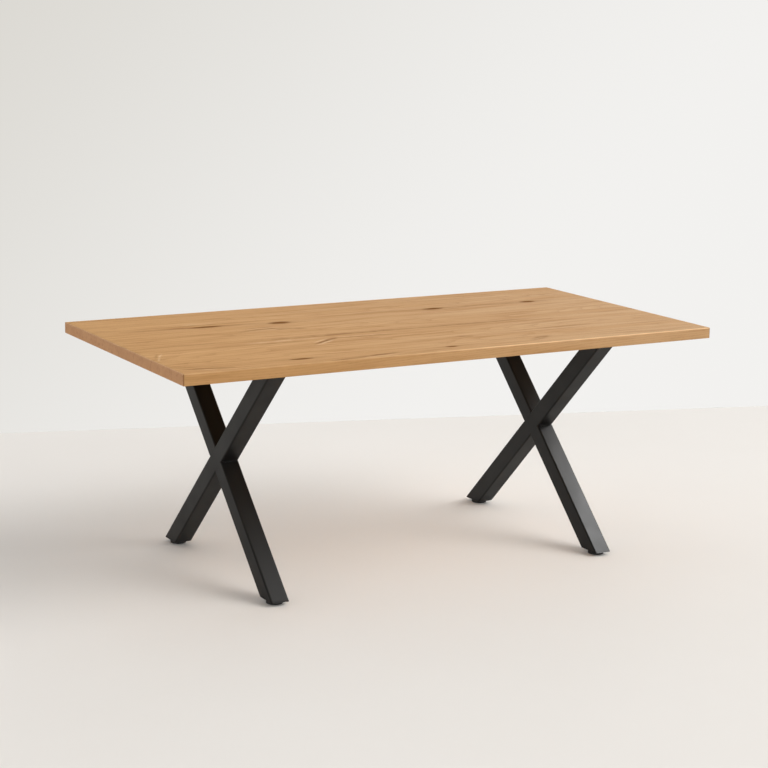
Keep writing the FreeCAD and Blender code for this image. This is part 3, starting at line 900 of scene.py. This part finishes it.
def stud_skin(x, y):
    """The stud, from its head to its tip: turned rows, a hexagon whose corners are broken at 30 degrees, and
    a thread. On the thread the radius goes between core and full size as a rounded wave of the height over
    the pitch less the share of a turn, and it runs out to the core at the tip."""
    brim = stud_head - stud_head_break
    radii = [pole_radius, brim, stud_head, stud_head, brim, stud_neck, stud_neck]
    levels = [pad_sole, pad_sole, pad_sole + stud_head_break, stud_head_z - stud_head_break, stud_head_z,
              stud_head_z, hex_low_z]
    plain = turned_rows(x, y, radii, levels)
    hex_half = stud_hex_flats / 2
    hex_radius = hex_half / np.cos(off_flat)
    face_radius = np.full_like(around, hex_half - hex_cut)
    fall = (hex_radius - hex_half) * math.tan(hex_slope)
    ring = np.stack([np.cos(around), np.sin(around)], axis=-1)
    nut_rows = []
    for radius, level in ((face_radius, np.full_like(fall, hex_low_z)),
                          (hex_radius, hex_low_z + hex_land + fall),
                          (hex_radius, foot_z - hex_land - fall),
                          (face_radius, np.full_like(fall, foot_z))):
        nut_rows.append(np.concatenate([vector(x, y) + radius[:, None] * ring, level[:, None]], axis=1))
    height = np.linspace(foot_z, stud_top_z, thread_rows)[:, None]
    wave = 0.5 + 0.5 * np.cos(2 * math.pi * height / thread_pitch - around)
    run_out = np.clip((stud_top_z - height) / thread_pitch, 0, 1)
    radius = stud_core + (stud_half - stud_core) * wave ** 0.8 * run_out
    thread = np.stack([x + radius * np.cos(around), y + radius * np.sin(around),
                       np.broadcast_to(height, radius.shape)], axis=-1)
    return skin(np.concatenate([plain, np.stack(nut_rows), thread]))


for side_name, x in frame_x.items():
    for place_name, y in (("front", -foot_reach), ("back", foot_reach)):
        corner_name = place_name + "_" + side_name
        add_piece("nylon_pad_" + corner_name, [pad_skin(x, y)], black_nylon,
                  corner_name + "_pad", "black_plastic", "foot_pad_" + corner_name)
        add_piece("zinc_stud_" + corner_name, [stud_skin(x, y)], bright_zinc,
                  corner_name + "_stud", "zinc_steel", "foot_stud_" + corner_name)


# The studio: a pale floor that ends at a wall line behind the table, and the pale wall, which is the world's
# own colour where it is looked at. A soft light comes from the right and the front, a card adds sheen and no
# other light, and the camera stands where the photo was taken.
floor_corners = [(-9.0, 4.581, 0), (-9.0, -9.0, 0), (9.0, -9.0, 0), (9.0, -0.635, 0)]
floor_warm = (0.814, 0.788, 0.759, 1.0)
floor_pale = (0.846, 0.826, 0.804, 1.0)
floor_sheen = 0.0
# The wall's shaded and lit tones: painted light on the wall, paler towards the right and low down.
wall_shaded = (0.68, 0.658, 0.61, 1.0)
wall_lit = (0.890, 0.882, 0.865, 1.0)
wall_lit_way = (0.8708, -0.4914, -0.8)
room_white = (1.0, 0.99, 0.97, 1.0)


def floor_finish():
    """Pale trowelled floor: warm off-white with slow, faint mottling."""
    material, tree, shader, place = start_finish("pale_floor")
    relief = use_group(tree, fine_relief, {"Place": place, "Waves": 40.0})
    mottle = cloud(tree, place, (1.2, 1.2, 1.2), 4.0, 9.0)["Fac"]
    colour = tint(tree, mottle, floor_warm, floor_pale)
    rough = fade(tree, relief["Height"], 0.3, 0.7, 0.6, 0.7)
    lay_finish(tree, shader, colour, rough, floor_sheen)
    return material


floor_mesh = bpy.data.meshes.new("floor")
floor_mesh.from_pydata(floor_corners, [], [(0, 1, 2, 3)])
floor_mesh.materials.append(floor_finish())
floor = bpy.data.objects.new("floor", floor_mesh)
bpy.context.scene.collection.objects.link(floor)

# The light of the room is stronger from the sides than from above, from the back than from the front, and
# from the right than from the left.
world = bpy.data.worlds.new("pale_room")
bpy.context.scene.world = world
world.use_nodes = True
room = world.node_tree
room.nodes.clear()
seen = room.nodes.new("ShaderNodeTexCoord").outputs["Generated"]
# Painted light on the wall: it is painted paler towards the right and low down, as lit from the right.
wall_lit_share = add_node(room, "VectorMath", {0: seen, 1: wall_lit_way}, operation="DOT_PRODUCT").outputs["Value"]
wall = tint(room, fade(room, wall_lit_share, -0.34, 0.24), wall_shaded, wall_lit)
wall_look = add_node(room, "Background", {"Color": wall, "Strength": 1.0})
facing = add_node(room, "SeparateXYZ", {0: seen}).outputs
by_height = fade(room, facing[2], 0.0, 0.8, 1.57, 0.36)
by_depth = fade(room, facing[1], -1.0, 1.0, 0.41, 1.80)
by_side = fade(room, facing[0], -1.0, 1.0, 0.69, 1.33)
strength = times(room, times(room, by_height, by_depth), by_side)
room_light = add_node(room, "Background", {"Color": room_white, "Strength": strength})
ray = room.nodes.new("ShaderNodeLightPath").outputs
looked_at = calc(room, "MAXIMUM", calc(room, "MAXIMUM", ray["Is Camera Ray"], ray["Is Glossy Ray"]),
                 ray["Is Transmission Ray"])
mixed = add_node(room, "MixShader", {0: looked_at, 1: room_light.outputs[0], 2: wall_look.outputs[0]})
room_out = room.nodes.new("ShaderNodeOutputWorld")
room.links.new(mixed.outputs[0], room_out.inputs["Surface"])


def add_lamp(name, long, wide, energy, place, aim):
    """A flat lamp of a length and a width, turned from its place towards its aim."""
    data = bpy.data.lights.new(name, "AREA")
    data.shape = "RECTANGLE"
    data.size = long
    data.size_y = wide
    data.energy = energy
    lamp = bpy.data.objects.new(name, data)
    lamp.location = place
    lamp.rotation_euler = (Vector(aim) - Vector(place)).to_track_quat("-Z", "Y").to_euler()
    bpy.context.scene.collection.objects.link(lamp)
    return lamp


key = add_lamp("soft_key", 13.0, 10.0, 400.0, (9.1, -6.8, 8.8), (0.0, 0.0, 0.6))
key.data.spread = math.radians(80.0)
key.data.color = (1.0, 0.985, 0.96)
card = add_lamp("sheen_card", 1.2, 1.2, 145.0, (2.45, -0.85, 2.5), (0.6, -0.3, 0.2))
card.visible_diffuse = False

bpy.context.scene.view_settings.view_transform = "Standard"
camera_place = Vector((-3.05462, -5.34454, 1.80998))
yaw = math.radians(29.5996)
pitch = math.radians(-11.5353)
roll = math.radians(0.9359)
forward = Vector((math.sin(yaw) * math.cos(pitch), math.cos(yaw) * math.cos(pitch), math.sin(pitch)))
level_right = Vector((math.cos(yaw), -math.sin(yaw), 0.0))
level_up = level_right.cross(forward)
right = math.cos(roll) * level_right + math.sin(roll) * level_up
up = math.cos(roll) * level_up - math.sin(roll) * level_right
camera_data = bpy.data.cameras.new("photo_camera")
camera_data.sensor_width = 36.0
camera_data.lens = 90.146
camera = bpy.data.objects.new("photo_camera", camera_data)
turned = Matrix((right, up, -forward)).transposed().to_4x4()
camera.matrix_world = Matrix.Translation(camera_place) @ turned
bpy.context.scene.collection.objects.link(camera)
bpy.context.scene.camera = camera
